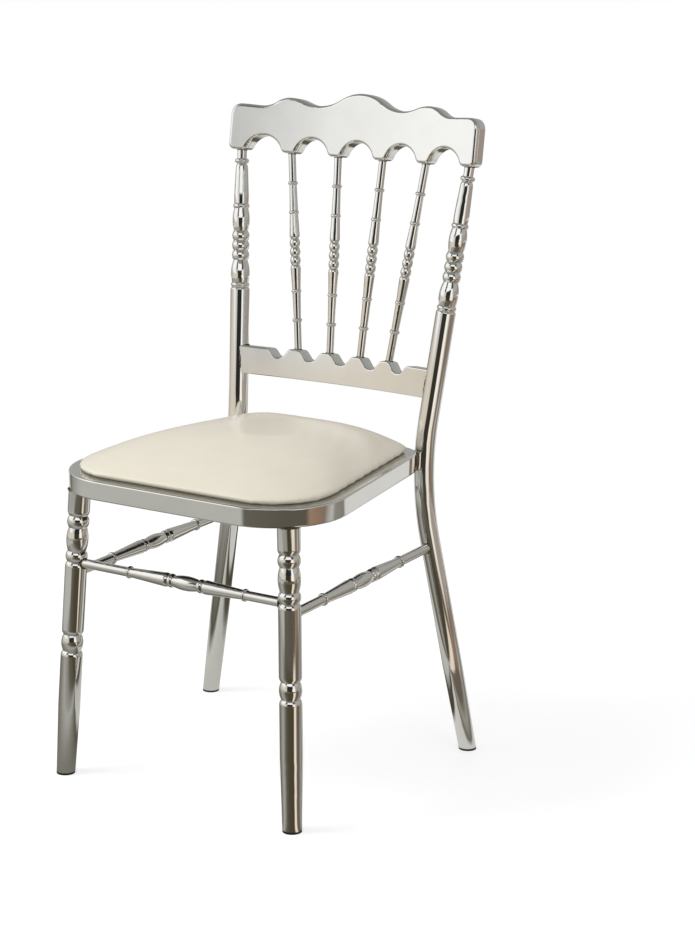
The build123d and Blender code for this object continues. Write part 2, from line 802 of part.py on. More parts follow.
# Seat pad
with BuildPart() as seat_board:
    with BuildSketch(Plane.XY.offset(board_z)):
        add(seat_outline(pad_inset + board_edge_gap))
    extrude(amount=board_thickness)
    with BuildSketch(Plane.XY.offset(board_z)):
        with Locations(*screw_places):
            Circle(screw_radius)
    extrude(amount=screw_bite, mode=Mode.SUBTRACT)
pieces["seat_board"] = seat_board.part


def pad_form(inset):
    """Crowned form: drawn in to its foot below its widest line, and to its crown above."""
    foot_z = frame_top + inset - pad_inset
    edge_z = frame_top + pad_edge_height
    crown_rise = pad_crown - pad_edge_height - (inset - pad_inset)
    with BuildPart() as form:
        with BuildSketch(Plane.XY.offset(foot_z)):
            add(seat_outline(inset + pad_tuck))
        with BuildSketch(Plane.XY.offset(edge_z)):
            add(seat_outline(inset))
        loft(ruled=True)
        for share in pad_section_shares:
            with BuildSketch(Plane.XY.offset(edge_z + crown_rise * (1 - share**pad_crown_power))):
                add(seat_outline(inset, share))
        loft()
    return form.part


pad_inside = pad_form(pad_inset + cover_thickness)
with BuildPart() as seat_foam:
    add(pad_inside)
    with BuildSketch(Plane.XY.offset(board_z)):
        add(seat_outline(pad_inset + board_edge_gap))
    extrude(amount=board_thickness, mode=Mode.SUBTRACT)
pieces["seat_foam"] = seat_foam.part

with BuildPart() as seat_cover:
    add(pad_form(pad_inset))
    add(pad_inside, mode=Mode.SUBTRACT)
    with BuildSketch(Plane.XY.offset(frame_top)):
        add(seat_outline(pad_inset + cover_hem))
    extrude(amount=cover_thickness, mode=Mode.SUBTRACT)
pieces["seat_cover"] = seat_cover.part

# Left-hand copies
for name in [name for name in pieces if name.endswith("_right")]:
    with BuildPart() as mirrored:
        mirror(pieces[name], about=Plane.YZ)
    pieces[name.replace("_right", "_left")] = mirrored.part

os.makedirs("parts", exist_ok=True)
for name, piece in pieces.items():
    piece.label = name
    export_step(piece, f"parts/{name}.step")
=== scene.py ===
"""Looks of a spindle-back banquet chair: polished steel tube, an ivory seat pad and its studio."""

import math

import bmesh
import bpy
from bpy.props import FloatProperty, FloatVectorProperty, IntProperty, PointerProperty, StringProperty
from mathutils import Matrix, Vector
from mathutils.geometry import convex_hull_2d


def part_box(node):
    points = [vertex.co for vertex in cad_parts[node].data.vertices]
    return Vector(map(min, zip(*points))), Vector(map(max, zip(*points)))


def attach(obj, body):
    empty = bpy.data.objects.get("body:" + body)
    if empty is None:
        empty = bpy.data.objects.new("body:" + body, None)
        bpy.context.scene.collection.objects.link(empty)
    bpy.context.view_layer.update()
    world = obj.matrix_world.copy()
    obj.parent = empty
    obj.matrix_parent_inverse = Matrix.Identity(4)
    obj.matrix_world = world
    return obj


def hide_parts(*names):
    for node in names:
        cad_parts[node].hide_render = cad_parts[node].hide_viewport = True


bl_info = {
    "name": "Spindle-back banquet chair",
    "version": (1, 0, 0),
    "blender": (4, 5, 0),
    "location": "View3D > Sidebar > Chair",
    "description": "Dresses the chair's frame with polished steel, a soft seat pad, welds and a studio",
    "category": "Object",
}

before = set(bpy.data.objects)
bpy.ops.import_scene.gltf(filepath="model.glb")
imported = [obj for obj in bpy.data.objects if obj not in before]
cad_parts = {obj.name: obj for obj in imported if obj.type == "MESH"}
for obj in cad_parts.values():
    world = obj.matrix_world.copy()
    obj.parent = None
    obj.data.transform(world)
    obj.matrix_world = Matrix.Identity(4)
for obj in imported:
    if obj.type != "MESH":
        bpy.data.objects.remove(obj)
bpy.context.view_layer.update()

BODY = "root"
MM = 0.001

TUBES = (
    "front_leg_right",
    "front_leg_left",
    "rear_leg_right",
    "rear_leg_left",
    "spindle_1",
    "spindle_2",
    "spindle_3",
    "spindle_4",
    "front_stretcher",
    "side_stretcher_right",
    "side_stretcher_left",
    "seat_frame",
)
PRESSINGS = ("crest_front_shell", "crest_back_shell", "rail_front_shell", "rail_back_shell")
TABS = ("front_tab_right", "front_tab_left", "rear_tab_right", "rear_tab_left")
GLIDES = ("front_glide_right", "front_glide_left", "rear_glide_right", "rear_glide_left")

pad_low, pad_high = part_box("seat_cover")
foam_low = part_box("seat_foam")[0]
frame_low, frame_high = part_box("seat_frame")

# Joints of the frame, in metres, on the chair's right
FRONT_FOOT = Vector((0.188818, -0.230567, 0))
FRONT_TOP = Vector((0.169718, -0.206967, 0.4))
REAR_FOOT = Vector((0.2249, 0.1522, 0))
KNEE = Vector((0.1543, 0.1305, 0.388))
POST_TOP = Vector((0.1895, 0.1985, 0.8124))
BACK_UP = Vector((0, POST_TOP.y - KNEE.y, POST_TOP.z - KNEE.z)).normalized()
FRONT_STRETCHER_END = Vector((0.174541, -0.212926, 0.299))
SIDE_STRETCHER_FRONT = Vector((0.175281, -0.213840, 0.2835))
SIDE_STRETCHER_REAR = Vector((0.171768, 0.135869, 0.292))
FRAME_WELDS = ((0.1456, 0.13417), (0.15514, 0.12357))
FRONT_LEG_RADIUS = 15 * MM
REAR_LEG_RADIUS = 13.8 * MM
STRETCHER_RADIUS = 6.5 * MM
SPINDLE_RADIUS = 5.2 * MM
POST_NECK_RADIUS = 6.8 * MM
RAIL_HALF_DEPTH = 11.6 * MM
RAIL_HALF_HEIGHT = 19.6 * MM
RAIL_MIDDLE_Z = 0.518
RAIL_END_TURN = math.radians(18)

# Seat pad: heights above its foot where the crown begins, where the rim lies and what counts as its underside
CROWN_FADE = (7 * MM, 18 * MM)
RIM_BAND = (4 * MM, 9 * MM)
UNDERSIDE_BAND = 0.2 * MM
FOOT_BAND = 1 * MM
HELD_VOXELS = 1.5
CLOTH_QUALITY = 6
FIRST_EVENING = 4

# Under the board, for the cover's hem
HEM_ROOM = 1.6 * MM

# Meshes
MERGE_DISTANCE = 0.01 * MM
SAME_LEVEL = 0.05 * MM
TUBE_CREASE = math.radians(32)
EDGE_CREASE = math.radians(30)
NORMAL_WEIGHT = 60

# Weld beads: how far they swell, how square the rail's is, and the waves along the seat frame's
BEAD_RIPPLE = 0.22
RAIL_BEAD_SQUARENESS = 0.45
FRAME_BEAD_RIPPLE = 0.14
FRAME_BEAD_WAVES = 7

# Small fastenings
STAPLE_PITCH = 32 * MM
STAPLE_CROWN = 11 * MM
STAPLE_WIRE = 1.3 * MM
STAPLE_INSET = 3 * MM
CROSS_LENGTH = 5.0 * MM
CROSS_WIDTH = 1.1 * MM
CROSS_DEPTH = 1.5 * MM


# Settings that a user would change
class ChairFinish(bpy.types.PropertyGroup):
    """Colours of the chair's finishes, as sRGB hex values."""

    steel: StringProperty(name="Steel", description="Polished stainless steel", default="#E7E7E5")
    steel_worn: StringProperty(
        name="Handled steel", description="Steel where it was handled", default="#DBDAD7"
    )
    weld: StringProperty(name="Weld", description="Weld metal between the heat tints", default="#8F8069")
    weld_tint: StringProperty(
        name="Weld tint", description="Straw and brown left by the heat", default="#453423"
    )
    leather: StringProperty(name="Leather", description="Ivory of the seat cover", default="#EFE9DA")
    leather_deep: StringProperty(
        name="Leather, deeper", description="Darker blotches in it", default="#E7DFCC"
    )
    plastic: StringProperty(name="Glides", description="Black moulded plastic", default="#1C1C1B")
    # Near black board, which the steel below mirrors as a dark underside
    plywood: StringProperty(name="Board", description="Black stain on the plywood", default="#26221E")
    plywood_grain: StringProperty(name="Board grain", description="Grain under the stain", default="#13110F")
    zinc: StringProperty(name="Zinc", description="Plating of the screws", default="#C2BFB4")
    mild_steel: StringProperty(name="Mild steel", description="Tabs inside the frame", default="#8E8C88")


class ChairPad(bpy.types.PropertyGroup):
    """How the seat pad is filled."""

    voxel: FloatProperty(name="Mesh size", description="Size of the pad's mesh", default=0.005, unit="LENGTH")
    pressure: FloatProperty(name="Pressure", description="Pressure of the filling", default=4.0)
    frames: IntProperty(name="Frames", description="Frames of the filling", default=20)
    swell: FloatProperty(
        name="Swell", description="Furthest that the skin moves", default=0.002, unit="LENGTH"
    )
    evening: IntProperty(name="Evening", description="Rounds that even the crown", default=60)
    skin: FloatProperty(name="Skin", description="Thickness of the cover", default=0.0012, unit="LENGTH")
    hem: FloatProperty(
        name="Hem", description="Width of the hem under the board", default=0.022, unit="LENGTH"
    )


class ChairBeads(bpy.types.PropertyGroup):
    """Weld beads of the frame."""

    size: FloatProperty(name="Bead", description="Radius of the beads", default=0.0013, unit="LENGTH")
    frame_size: FloatProperty(
        name="Frame bead", description="Radius at the seat frame", default=0.0045, unit="LENGTH"
    )
    fine_size: FloatProperty(
        name="Fine bead", description="Radius at the spindles", default=0.0009, unit="LENGTH"
    )


class ChairStudio(bpy.types.PropertyGroup):
    """Camera and light."""

    eye: FloatVectorProperty(
        name="Camera", description="Place of the camera", default=(1.8258, -2.5876, 1.2009), subtype="XYZ"
    )
    azimuth: FloatProperty(name="Azimuth", description="Turn of the view, in degrees", default=33.357)
    elevation: FloatProperty(name="Elevation", description="Height of the view, in degrees", default=13.95)
    lens: FloatProperty(name="Lens", description="Focal length, in millimetres", default=92.6)
    sky: FloatProperty(name="Ambient", description="Strength of the light from all around", default=0.55)
    key: FloatProperty(name="Key", description="Power of the key lamp", default=52.0, unit="POWER")
    fill: FloatProperty(name="Fill", description="Power of the fill lamp", default=7.0, unit="POWER")
    back: FloatProperty(
        name="Back", description="Power of the lamp behind the chair", default=6.0, unit="POWER"
    )


# Helpers
def linear(text):
    """Linear colour of an sRGB hex value."""
    parts = [int(text[start : start + 2], 16) / 255 for start in (1, 3, 5)]
    return (*(part / 12.92 if part <= 0.04045 else ((part + 0.055) / 1.055) ** 2.4 for part in parts), 1.0)


def add_node(tree, kind, inputs=None, **settings):
    """Adds a node.

    Settings are its properties. Inputs give each socket a value, or the socket that it is linked to.
    """
    node = tree.nodes.new(kind)
    for name, value in settings.items():
        setattr(node, name, value)
    for name, value in (inputs or {}).items():
        if isinstance(value, bpy.types.NodeSocket):
            tree.links.new(value, node.inputs[name])
        else:
            node.inputs[name].default_value = value
    return node


def new_material(name):
    """Empty material with its node tree."""
    material = bpy.data.materials.new(name)
    material.use_nodes = True
    material.node_tree.nodes.clear()
    return material, material.node_tree


def finish_material(tree, shader):
    """Sends a shader to the material's output."""
    add_node(tree, "ShaderNodeOutputMaterial", {"Surface": shader.outputs[0]})


def deselect_all():
    """Leaves object mode clean: nothing selected."""
    if bpy.context.object and bpy.context.object.mode != "OBJECT":
        bpy.ops.object.mode_set(mode="OBJECT")
    bpy.ops.object.select_all(action="DESELECT")


def pick(*objects):
    """Selects these objects alone, the first one active."""
    deselect_all()
    for chosen in objects:
        chosen.select_set(True)
    bpy.context.view_layer.objects.active = objects[0]


def copy_node(node, name):
    """Copy of a CAD node with its own mesh, its loose triangles merged."""
    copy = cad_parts[node].copy()
    copy.data = copy.data.copy()
    for key in list(copy.keys()):
        del copy[key]
    copy.parent = None
    copy.name = name
    copy.data.name = name
    bpy.context.scene.collection.objects.link(copy)
    pick(copy)
    if copy.data.has_custom_normals:
        bpy.ops.mesh.customdata_custom_splitnormals_clear()
    bpy.ops.object.mode_set(mode="EDIT")
    bpy.ops.mesh.select_all(action="SELECT")
    bpy.ops.mesh.remove_doubles(threshold=MERGE_DISTANCE)
    bpy.ops.object.mode_set(mode="OBJECT")
    return copy


def mirrored(point):
    """The same point on the chair's left."""
    return Vector((-point.x, point.y, point.z))


def spindle_ends(node):
    """Lower and upper end of a spindle's centre line."""
    points = [vertex.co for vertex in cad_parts[node].data.vertices]
    heights = [point.dot(BACK_UP) for point in points]
    ends = []
    for level in (min(heights), max(heights)):
        rim = [point for point, height in zip(points, heights) if abs(height - level) < SAME_LEVEL]
        low = Vector(min(point[axis] for point in rim) for axis in range(3))
        high = Vector(max(point[axis] for point in rim) for axis in range(3))
        ends.append((low + high) / 2)
    return ends


def board_rim():
    """Outline of the seat board from below, counter-clockwise."""
    points = [vertex.co.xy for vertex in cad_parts["seat_board"].data.vertices]
    return [points[index].copy() for index in convex_hull_2d(points)]


def apply_modifiers(piece):
    """Applies all the modifiers of a piece."""
    pick(piece)
    for modifier in list(piece.modifiers):
        bpy.ops.object.modifier_apply(modifier=modifier.name)


def dress(piece, material):
    """Gives a piece its material, body and slot."""
    piece.data.materials.clear()
    piece.data.materials.append(material)
    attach(piece, BODY)
    return piece


# Finishes
def polished_steel(name, bright, worn, roughness, ripple_length):
    """Polished stainless steel: a mirror that handling has dulled a little, on a faintly rippled wall."""
    material, tree = new_material(name)
    place = add_node(tree, "ShaderNodeTexCoord").outputs["Object"]
    handled = add_node(
        tree, "ShaderNodeTexNoise", {"Vector": place, "Scale": 1 / (60 * MM), "Detail": 4.0, "Roughness": 0.6}
    )
    tint = add_node(
        tree,
        "ShaderNodeMix",
        {"Factor": handled.outputs["Fac"], 6: linear(bright), 7: linear(worn)},
        data_type="RGBA",
    )
    smear = add_node(
        tree,
        "ShaderNodeMapRange",
        {
            "Value": handled.outputs["Fac"],
            "From Min": 0.3,
            "From Max": 0.7,
            "To Min": roughness,
            "To Max": roughness * 1.6,
        },
    )
    # Rolling and polishing leave a ripple, seen only where reflections wander
    ripple = add_node(
        tree, "ShaderNodeTexNoise", {"Vector": place, "Scale": 1 / ripple_length, "Detail": 0.0}
    )
    bump = add_node(
        tree, "ShaderNodeBump", {"Height": ripple.outputs["Fac"], "Strength": 0.1, "Distance": 0.5 * MM}
    )
    shader = add_node(
        tree,
        "ShaderNodeBsdfPrincipled",
        {
            "Base Color": tint.outputs[2],
            "Metallic": 1.0,
            "Roughness": smear.outputs["Result"],
            "Normal": bump.outputs["Normal"],
        },
    )
    finish_material(tree, shader)
    return material


def ivory_leather(finish):
    """Coated leather cloth, smooth and satin: a fine pebble grain and faint blotches."""
    material, tree = new_material("ivory_leather_cloth")
    place = add_node(tree, "ShaderNodeTexCoord").outputs["Object"]
    blotch = add_node(
        tree,
        "ShaderNodeTexNoise",
        {"Vector": place, "Scale": 1 / (45 * MM), "Detail": 3.0, "Roughness": 0.55},
    )
    tint = add_node(
        tree,
        "ShaderNodeMix",
        {"Factor": blotch.outputs["Fac"], 6: linear(finish.leather), 7: linear(finish.leather_deep)},
        data_type="RGBA",
    )
    # Pebbles about 1.5 mm across, drawn a little coarser than real so that they show
    pebble = add_node(
        tree,
        "ShaderNodeTexVoronoi",
        {"Vector": place, "Scale": 1 / (1.5 * MM)},
        feature="SMOOTH_F1",
    )
    satin = add_node(
        tree,
        "ShaderNodeMapRange",
        {"Value": blotch.outputs["Fac"], "From Min": 0.3, "From Max": 0.7, "To Min": 0.2, "To Max": 0.26},
    )
    bump = add_node(
        tree, "ShaderNodeBump", {"Height": pebble.outputs["Distance"], "Strength": 0.1, "Distance": 0.12 * MM}
    )
    shader = add_node(
        tree,
        "ShaderNodeBsdfPrincipled",
        {
            "Base Color": tint.outputs[2],
            "Roughness": satin.outputs["Result"],
            "IOR": 1.48,
            "Normal": bump.outputs["Normal"],
        },
    )
    finish_material(tree, shader)
    return material


def moulded_plastic(finish):
    """Polyethylene from a spark-eroded mould: black, matt, with a fine even grain."""
    material, tree = new_material("moulded_polyethylene")
    place = add_node(tree, "ShaderNodeTexCoord").outputs["Object"]
    grain = add_node(tree, "ShaderNodeTexNoise", {"Vector": place, "Scale": 1 / (0.8 * MM), "Detail": 2.0})
    bump = add_node(
        tree, "ShaderNodeBump", {"Height": grain.outputs["Fac"], "Strength": 0.3, "Distance": 0.05 * MM}
    )
    dull = add_node(
        tree, "ShaderNodeMapRange", {"Value": grain.outputs["Fac"], "To Min": 0.5, "To Max": 0.65}
    )
    shader = add_node(
        tree,
        "ShaderNodeBsdfPrincipled",
        {
            "Base Color": linear(finish.plastic),
            "Roughness": dull.outputs["Result"],
            "IOR": 1.5,
            "Normal": bump.outputs["Normal"],
        },
    )
    finish_material(tree, shader)
    return material


def dark_plywood(finish):
    """Rotary-cut plywood coloured near black, which the steel below mirrors as a dark underside: its
    wandering grain and short pores still show faintly.
    """
    material, tree = new_material("near_black_plywood")
    place = add_node(tree, "ShaderNodeTexCoord").outputs["Object"]
    along = add_node(tree, "ShaderNodeMapping", {"Vector": place, "Scale": (1.0, 0.12, 1.0)})
    grain = add_node(
        tree,
        "ShaderNodeTexWave",
        {
            "Vector": along.outputs["Vector"],
            "Scale": 1 / (32 * MM),
            "Distortion": 7.0,
            "Detail": 3.0,
            "Detail Scale": 1.4,
        },
        bands_direction="X",
    )
    pores = add_node(
        tree,
        "ShaderNodeTexNoise",
        {"Vector": along.outputs["Vector"], "Scale": 1 / (2.2 * MM), "Detail": 2.0},
    )
    mixed = add_node(
        tree,
        "ShaderNodeMath",
        {0: grain.outputs["Fac"], 1: pores.outputs["Fac"]},
        operation="MULTIPLY",
    )
    tint = add_node(
        tree,
        "ShaderNodeMix",
        {"Factor": mixed.outputs["Value"], 6: linear(finish.plywood), 7: linear(finish.plywood_grain)},
        data_type="RGBA",
    )
    bump = add_node(
        tree, "ShaderNodeBump", {"Height": pores.outputs["Fac"], "Strength": 0.25, "Distance": 0.1 * MM}
    )
    shader = add_node(
        tree,
        "ShaderNodeBsdfPrincipled",
        {
            "Base Color": tint.outputs[2],
            "Roughness": 0.62,
            "Normal": bump.outputs["Normal"],
        },
    )
    finish_material(tree, shader)
    return material


def bright_weld(finish):
    """Weld metal, brushed after welding: duller than the tubes, with straw and brown heat tints."""
    return polished_steel("brushed_weld_steel", finish.weld, finish.weld_tint, 0.32, 6 * MM)


def plain_metal(name, colour, roughness, grit):
    """Unpolished metal: an even dull shine with a fine grit."""
    material, tree = new_material(name)
    place = add_node(tree, "ShaderNodeTexCoord").outputs["Object"]
    scale = add_node(tree, "ShaderNodeTexNoise", {"Vector": place, "Scale": 1 / grit, "Detail": 3.0})
    dull = add_node(
        tree,
        "ShaderNodeMapRange",
        {"Value": scale.outputs["Fac"], "To Min": roughness * 0.8, "To Max": roughness * 1.2},
    )
    bump = add_node(
        tree, "ShaderNodeBump", {"Height": scale.outputs["Fac"], "Strength": 0.3, "Distance": 0.04 * MM}
    )
    shader = add_node(
        tree,
        "ShaderNodeBsdfPrincipled",
        {
            "Base Color": linear(colour),
            "Metallic": 1.0,
            "Roughness": dull.outputs["Result"],
            "Normal": bump.outputs["Normal"],
        },
    )
    finish_material(tree, shader)
    return material


# Pieces
class CHAIR_OT_steel_frame(bpy.types.Operator):
    """Polishes the tubes, rails and seat frame"""

    bl_idname = "chair.steel_frame"
    bl_label = "Steel frame"

    def execute(self, context):
        finish = context.scene.chair_finish
        colours = (finish.steel, finish.steel_worn)
        groups = (
            (TUBES, polished_steel("polished_steel_tube", *colours, 0.05, 40 * MM)),
            (PRESSINGS, polished_steel("polished_steel_pressing", *colours, 0.1, 70 * MM)),
        )
        for nodes, material in groups:
            for node in nodes:
                piece = copy_node(node, f"polished_{node}")
                bpy.ops.object.shade_smooth_by_angle(angle=TUBE_CREASE)
                weighted = piece.modifiers.new("even_normals", "WEIGHTED_NORMAL")
                weighted.keep_sharp = True
                weighted.weight = NORMAL_WEIGHT
                apply_modifiers(piece)
                dress(piece, material)
                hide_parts(node)
        return {"FINISHED"}


class CHAIR_OT_seat_pad(bpy.types.Operator):
    """Fills the seat pad under its ivory cover"""

    bl_idname = "chair.seat_pad"
    bl_label = "Seat pad"

    def execute(self, context):
        pad = context.scene.chair_pad
        piece = copy_node("seat_foam", "seat_pad_cover")
        board = copy_node("seat_board", "board_copy")
        pick(piece, board)
        bpy.ops.object.join()
        piece.data.remesh_voxel_size = pad.voxel
        bpy.ops.object.voxel_remesh()
        start = [vertex.co.copy() for vertex in piece.data.vertices]
        rest_z = foam_low.z + HELD_VOXELS * pad.voxel
        held = piece.vertex_groups.new(name="held")
        held.add([v.index for v in piece.data.vertices if v.co.z < rest_z], 1.0, "REPLACE")
        cloth = piece.modifiers.new("filling", "CLOTH")
        cloth.settings.use_pressure = True
        cloth.settings.uniform_pressure_force = pad.pressure
        cloth.settings.effector_weights.gravity = 0.0
        cloth.settings.vertex_group_mass = "held"
        cloth.settings.quality = CLOTH_QUALITY
        for step in range(1, pad.frames + 1):
            context.scene.frame_set(step)
        apply_modifiers(piece)
        context.scene.frame_set(1)
        for vertex, before in zip(piece.data.vertices, start):
            moved = vertex.co - before
            if moved.length > pad.swell:
                vertex.co = before + moved.normalized() * pad.swell
        self.settle(piece, pad)
        self.open_hem(piece, pad)
        bpy.ops.object.shade_smooth()
        skin = piece.modifiers.new("skin", "SOLIDIFY")
        skin.thickness = pad.skin
        skin.offset = -1.0
        soft = piece.modifiers.new("soft", "SUBSURF")
        soft.levels = 1
        soft.render_levels = 1
        apply_modifiers(piece)
        piece.vertex_groups.clear()
        dress(piece, ivory_leather(context.scene.chair_finish))
        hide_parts("seat_cover", "seat_foam")
        return {"FINISHED"}

    def settle(self, piece, pad):
        """Evens the skin and keeps it in the cover's box, flat where it lies on the seat frame."""
        crown = piece.vertex_groups.new(name="crown")
        for vertex in piece.data.vertices:
            share = (vertex.co.z - pad_low.z - CROWN_FADE[0]) / (CROWN_FADE[1] - CROWN_FADE[0])
            crown.add([vertex.index], min(max(share, 0.0), 1.0), "REPLACE")
        for group, rounds in (("", FIRST_EVENING), (crown.name, pad.evening)):
            smooth = piece.modifiers.new("even", "SMOOTH")
            smooth.factor = 0.5
            smooth.iterations = rounds
            smooth.vertex_group = group
        outside = piece.modifiers.new("outside", "DISPLACE")
        outside.strength = pad.skin
        outside.mid_level = 0.0
        apply_modifiers(piece)
        for vertex in piece.data.vertices:
            vertex.co.x = min(max(vertex.co.x, pad_low.x), pad_high.x)
            vertex.co.y = min(max(vertex.co.y, pad_low.y), pad_high.y)
            vertex.co.z = min(vertex.co.z, pad_high.z)
            if vertex.co.z < foam_low.z + FOOT_BAND:
                vertex.co.z = pad_low.z

    def open_hem(self, piece, pad):
        """Cuts the middle out of the underside, so that the board shows inside the hem."""
        mesh = bmesh.new()
        mesh.from_mesh(piece.data)
        rim = [v.co.xy for v in mesh.verts if RIM_BAND[0] < v.co.z - pad_low.z < RIM_BAND[1]]
        inside = []
        for face in mesh.faces:
            centre = face.calc_center_median()
            if centre.z < pad_low.z + UNDERSIDE_BAND:
                gap = min((centre.xy - point).length for point in rim)
                if gap > pad.hem:
                    inside.append(face)
        bmesh.ops.delete(mesh, geom=inside, context="FACES")
        mesh.to_mesh(piece.data)
        mesh.free()


class CHAIR_OT_weld_beads(bpy.types.Operator):
    """Lays a weld bead round every joint of the frame"""

    bl_idname = "chair.weld_beads"
    bl_label = "Weld beads"

    def execute(self, context):
        beads = context.scene.chair_beads
        made = []
        for side in (1, -1):
            made += self.stretcher_beads(beads, side)
            made += self.upright_beads(beads, side)
            made += self.frame_beads(beads, side)
        for end in (FRONT_STRETCHER_END, mirrored(FRONT_STRETCHER_END)):
            leg = (mirrored(FRONT_FOOT), mirrored(FRONT_TOP)) if end.x < 0 else (FRONT_FOOT, FRONT_TOP)
            run = Vector((-end.x, 0, 0)).normalized()
            made.append(self.saddle_bead(end, run, leg, FRONT_LEG_RADIUS, STRETCHER_RADIUS, beads.size))
        pick(*made)
        bpy.ops.object.join()
        piece = made[0]
        piece.name = "weld_beads"
        piece.data.name = "weld_beads"
        bpy.ops.object.shade_smooth()
        dress(piece, bright_weld(context.scene.chair_finish))
        return {"FINISHED"}

    def loop(self, size, reach, rise, ripples):
        """Closed bead in the XY plane, its ripples like overlapping coins."""
        deselect_all()
        bpy.ops.mesh.primitive_torus_add(
            major_segments=6 * ripples, minor_segments=8, major_radius=1.0, minor_radius=0.5
        )
        bead = bpy.context.object
        for vertex in bead.data.vertices:
            turn = math.atan2(vertex.co.y, vertex.co.x)
            out = vertex.co.xy.length - 1.0
            swell = 2 * size * (1 + BEAD_RIPPLE * math.cos(ripples * turn))
            squareness = 1.0 if reach == rise else RAIL_BEAD_SQUARENESS
            across = math.copysign(abs(math.cos(turn)) ** squareness, math.cos(turn))
            along = math.copysign(abs(math.sin(turn)) ** squareness, math.sin(turn))
            vertex.co = (
                across * reach + out * swell * math.cos(turn),
                along * rise + out * swell * math.sin(turn),
                vertex.co.z * swell,
            )
        return bead

    def saddle_bead(self, joint, run, leg, leg_radius, reach, size, rise=None, ripples=14):
        """Bead where a tube that runs away from a leg's centre line meets the leg's round wall."""
        upwards = (leg[1] - leg[0]).normalized()
        sideways = upwards.cross(run).normalized()
        outwards = sideways.cross(upwards).normalized()
        bead = self.loop(size, reach, rise or reach, ripples)
        for vertex in bead.data.vertices:
            side, up, lift = vertex.co
            wall = math.sqrt(max(leg_radius**2 - side**2, (0.3 * leg_radius) ** 2))
            vertex.co = joint + sideways * side + upwards * up + outwards * (wall + lift)
        return bead

    def flat_bead(self, centre, axis, radius, size, ripples):
        """Bead round a tube that stands square on a plane."""
        bead = self.loop(size, radius, radius, ripples)
        turn = axis.to_track_quat("Z", "Y")
        for vertex in bead.data.vertices:
            vertex.co = centre + turn @ vertex.co
        return bead

    def stretcher_beads(self, beads, side):
        """Beads at both ends of a side stretcher."""
        front = mirrored(SIDE_STRETCHER_FRONT) if side < 0 else SIDE_STRETCHER_FRONT
        rear = mirrored(SIDE_STRETCHER_REAR) if side < 0 else SIDE_STRETCHER_REAR
        front_leg = [mirrored(p) if side < 0 else p for p in (FRONT_FOOT, FRONT_TOP)]
        rear_leg = [mirrored(p) if side < 0 else p for p in (REAR_FOOT, KNEE)]
        return [
            self.saddle_bead(front, rear - front, front_leg, FRONT_LEG_RADIUS, STRETCHER_RADIUS, beads.size),
            self.saddle_bead(rear, front - rear, rear_leg, REAR_LEG_RADIUS, STRETCHER_RADIUS, beads.size),
        ]

    def upright_beads(self, beads, side):
        """Legs under the frame, spindles in both rails, posts under the crest and the lower rail's ends."""
        made = []
        leg = [mirrored(p) if side < 0 else p for p in (FRONT_FOOT, FRONT_TOP)]
        made.append(self.flat_bead(leg[1], Vector((0, 0, 1)), FRONT_LEG_RADIUS, beads.size, 30))
        numbers = (3, 4) if side > 0 else (1, 2)
        for number in numbers:
            low, high = spindle_ends(f"spindle_{number}")
            made.append(self.flat_bead(high, BACK_UP, SPINDLE_RADIUS, beads.fine_size, 12))
            made.append(self.flat_bead(low, BACK_UP, SPINDLE_RADIUS, beads.fine_size, 12))
        post = mirrored(POST_TOP) if side < 0 else POST_TOP
        made.append(self.flat_bead(post, BACK_UP, POST_NECK_RADIUS, beads.fine_size, 14))
        knee = mirrored(KNEE) if side < 0 else KNEE
        middle = knee + (post - knee) * ((RAIL_MIDDLE_Z - knee.z) / (post.z - knee.z))
        run = Vector((-side * math.cos(RAIL_END_TURN), math.sin(RAIL_END_TURN), 0))
        made.append(
            self.saddle_bead(
                middle, run, (knee, post), REAR_LEG_RADIUS, RAIL_HALF_DEPTH, beads.size, RAIL_HALF_HEIGHT, 34
            )
        )
        return made

    def frame_beads(self, beads, side):
        """Upright beads in the corners between the seat frame and a rear leg."""
        made = []
        for place in FRAME_WELDS:
            deselect_all()
            bpy.ops.mesh.primitive_uv_sphere_add(segments=12, ring_count=36, radius=1.0)
            bead = bpy.context.object
            half = (frame_high.z - frame_low.z) / 2
            for vertex in bead.data.vertices:
                ripple = 1 + FRAME_BEAD_RIPPLE * math.cos(math.tau * FRAME_BEAD_WAVES * vertex.co.z)
                vertex.co = (
                    side * place[0] + vertex.co.x * beads.frame_size * ripple,
                    place[1] + vertex.co.y * beads.frame_size * ripple,
                    frame_low.z + half + vertex.co.z * half,
                )
            made.append(bead)
        return made


